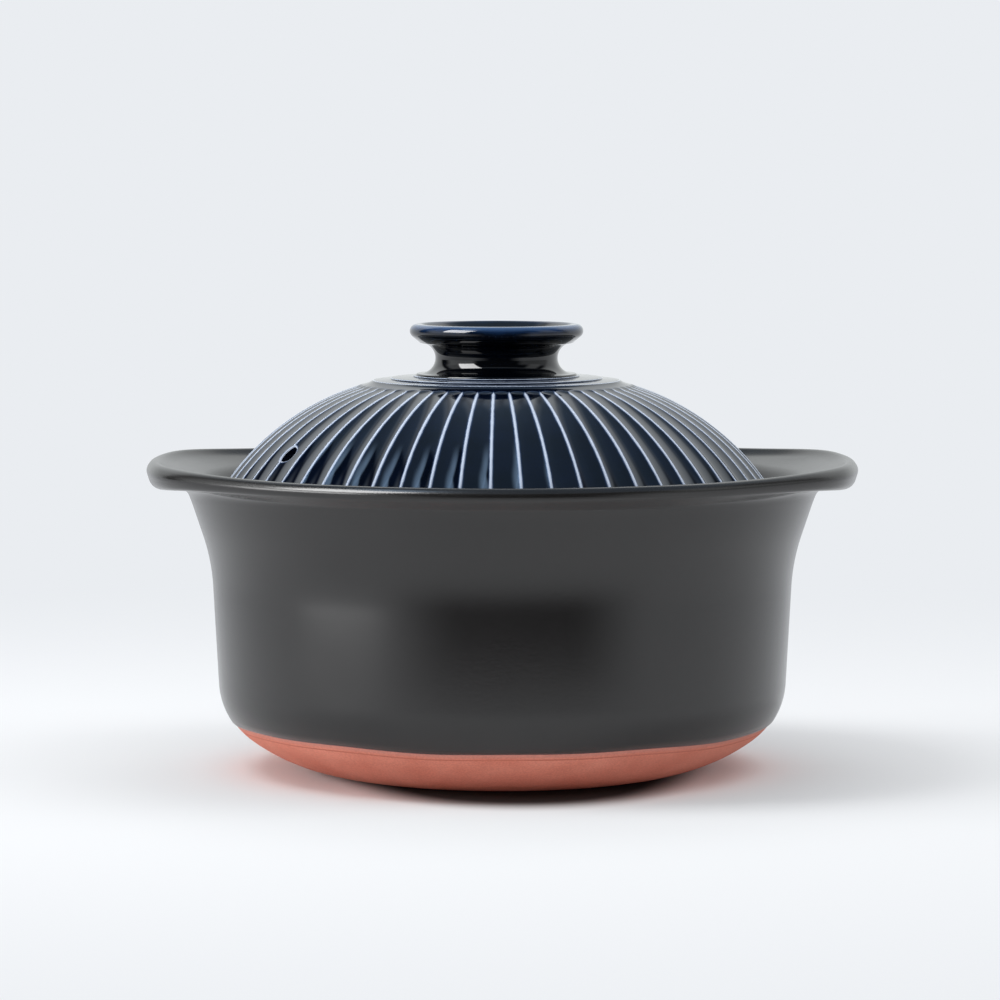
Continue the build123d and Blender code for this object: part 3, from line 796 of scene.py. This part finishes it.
# What the gloss shows round the pot, in degrees: bearing from the front, then height over the
# horizon, each as one end, how soft it is, the other end and its softness, and last the brightness
surroundings = [
    ((110, 7, 200, 1), (-20, 1, 44, 4), 0.95),
    ((-200, 1, -125, 4), (-20, 1, 42, 4), 0.95),
    ((118, 8, 172, 5), (26, 8, 50, 5), 0.35),
    ((-178, 5, -126, 6), (24, 8, 50, 5), 0.45),
    ((-200, 1, -120, 4), (46, 4, 66, 4), 0.45),
    ((-72, 4, 200, 1), (46, 4, 66, 4), 0.47),
    ((-200, 1, 200, 1), (66, 4, 100, 1), 0.44),
    ((-108, 22, -46, 18), (64, 2, 73, 6), 3.8),
    ((-78, 4, -50, 8), (56, 3, 65, 2), 3.8),
    ((-110, 8, -55, 8), (18, 6, 48, 5), 0.8),
    ((66, 7, 94, 7), (22, 7, 48, 7), 0.8),
    ((-102, 10, -42, 8), (-20, 1, 20, 8), 1.15),
    ((45, 8, 110, 8), (-20, 1, 25, 8), 0.52),
]
darkest_room = 0.03

world = bpy.data.worlds.new("studio")
bpy.context.scene.world = world
world.use_nodes = True
tree = world.node_tree
tree.nodes.clear()
direction = add(tree, "ShaderNodeTexCoord").outputs["Generated"]
around = bearing_from_front(tree, direction)
rise = add(tree, "ShaderNodeSeparateXYZ", {0: direction}).outputs["Z"]
angle = add(tree, "ShaderNodeMath", {0: rise}, operation="ARCSINE").outputs[0]
height = add(tree, "ShaderNodeMath", {0: angle}, operation="DEGREES").outputs[0]
bright = darkest_room
for bearings, heights, level in surroundings:
    box = {0: between(tree, around, *bearings), 1: between(tree, height, *heights)}
    box = add(tree, "ShaderNodeMath", box, operation="MULTIPLY").outputs[0]
    bright = {0: box, 1: level, 2: bright}
    bright = add(tree, "ShaderNodeMath", bright, operation="MULTIPLY_ADD").outputs[0]
overhead = {"Value": height, "From Min": 42.0, "From Max": 54.0}
overhead = add(tree, "ShaderNodeMapRange", overhead).outputs["Result"]
tint = {"Factor": overhead, 6: colour("#F1F5F6"), 7: colour("#B6D2EE")}
tint = add(tree, "ShaderNodeMix", tint, data_type="RGBA").outputs[2]
room = add(tree, "ShaderNodeBackground", {"Color": tint, "Strength": bright}).outputs[0]
# Matt surfaces are lit by a plain sky that brightens upwards, and the eye sees the backdrop
sky = {"Value": rise, "From Min": 0.2, "From Max": 0.95, "To Min": 0.1, "To Max": 0.95}
sky = add(tree, "ShaderNodeMapRange", sky, interpolation_type="SMOOTHSTEP").outputs["Result"]
tent = add(tree, "ShaderNodeBackground", {"Color": colour("#F6F6F7"), "Strength": sky}).outputs[0]
backdrop = add(tree, "ShaderNodeBackground", {"Color": backdrop_colour, "Strength": 1.0}).outputs[0]
rays = add(tree, "ShaderNodeLightPath").outputs
seen = {0: rays["Is Camera Ray"], 1: rays["Is Transmission Ray"]}
seen = add(tree, "ShaderNodeMath", seen, operation="MAXIMUM").outputs[0]
lit = add(tree, "ShaderNodeMixShader", {0: rays["Is Glossy Ray"], 1: tent, 2: room}).outputs[0]
both = add(tree, "ShaderNodeMixShader", {0: seen, 1: lit, 2: backdrop}).outputs[0]
add(tree, "ShaderNodeOutputWorld", {"Surface": both})


def soft_box(name, place, aim, width, height, power, hidden_from):
    """A rectangular lamp at a place, in metres, that looks at another place."""
    lamp = bpy.data.lights.new(name, "AREA")
    lamp.shape, lamp.size, lamp.size_y, lamp.energy = "RECTANGLE", width, height, power
    holder = bpy.data.objects.new(name, lamp)
    holder.location = place
    holder.rotation_euler = (Vector(aim) - Vector(place)).to_track_quat("-Z", "Y").to_euler()
    setattr(holder, f"visible_{hidden_from}", False)
    bpy.context.collection.objects.link(holder)
    return holder


# Soft boxes as place, aim, width, height and power in watts. Six light the matt surfaces
matt_boxes = {
    "key_box": ((-0.72, -0.2, 1.6), (0, 0, 0.08), 0.5, 0.8, 7.5),
    "fill_box": ((0.9, -0.3, 1.5), (0, 0, 0.08), 0.9, 0.9, 3.6),
    "back_box": ((0, 0.9, 1.5), (0, 0, 0.08), 0.9, 0.6, 2.5),
    "left_box": ((-1.1, -0.05, 0.34), (0, 0, 0.03), 0.5, 0.4, 7.6),
    "right_box": ((1.1, 0, 0.5), (0, 0, 0.03), 0.5, 0.5, 3.1),
    "low_box": ((-0.1, -1.8, 0.13), (0, 0, 0.03), 1.2, 0.2, 6.2),
}
for name, box in matt_boxes.items():
    soft_box(name, *box, "glossy")

# Two more show in the gloss alone, of the pieces named last, and draw their highlights
gloss_boxes = {
    "gloss_box": ((-1.0, -0.57, 1.0), (0, 0, 0.1), 0.85, 0.95, 33, (pot_glaze_coat, knob_glaze_coat)),
    "side_gloss_box": ((-0.5, -0.28, 0.1), (0, 0, 0.08), 0.35, 0.2, 1.35, (pot_glaze_coat,)),
}
for name, (*box, pieces) in gloss_boxes.items():
    lit_pieces = bpy.data.collections.new(f"lit_by_{name}")
    for piece in pieces:
        lit_pieces.objects.link(piece)
    soft_box(name, *box, "diffuse").light_linking.receiver_collection = lit_pieces

# A long lens from a little above the rim, as the pot is pictured. Lens and sensor are millimetres
camera_place, camera_tilt = (-0.0008, -1.5833, 0.2184), 4.537
lens, sensor_width = 165.6, 36.0

eye = bpy.data.cameras.new("eye")
eye.lens, eye.sensor_width = lens, sensor_width
camera = bpy.data.objects.new("eye", eye)
camera.location = camera_place
camera.rotation_euler = (np.radians(90 - camera_tilt), 0, 0)
bpy.context.collection.objects.link(camera)
bpy.context.scene.camera = camera
bpy.context.scene.view_settings.view_transform = "Standard"
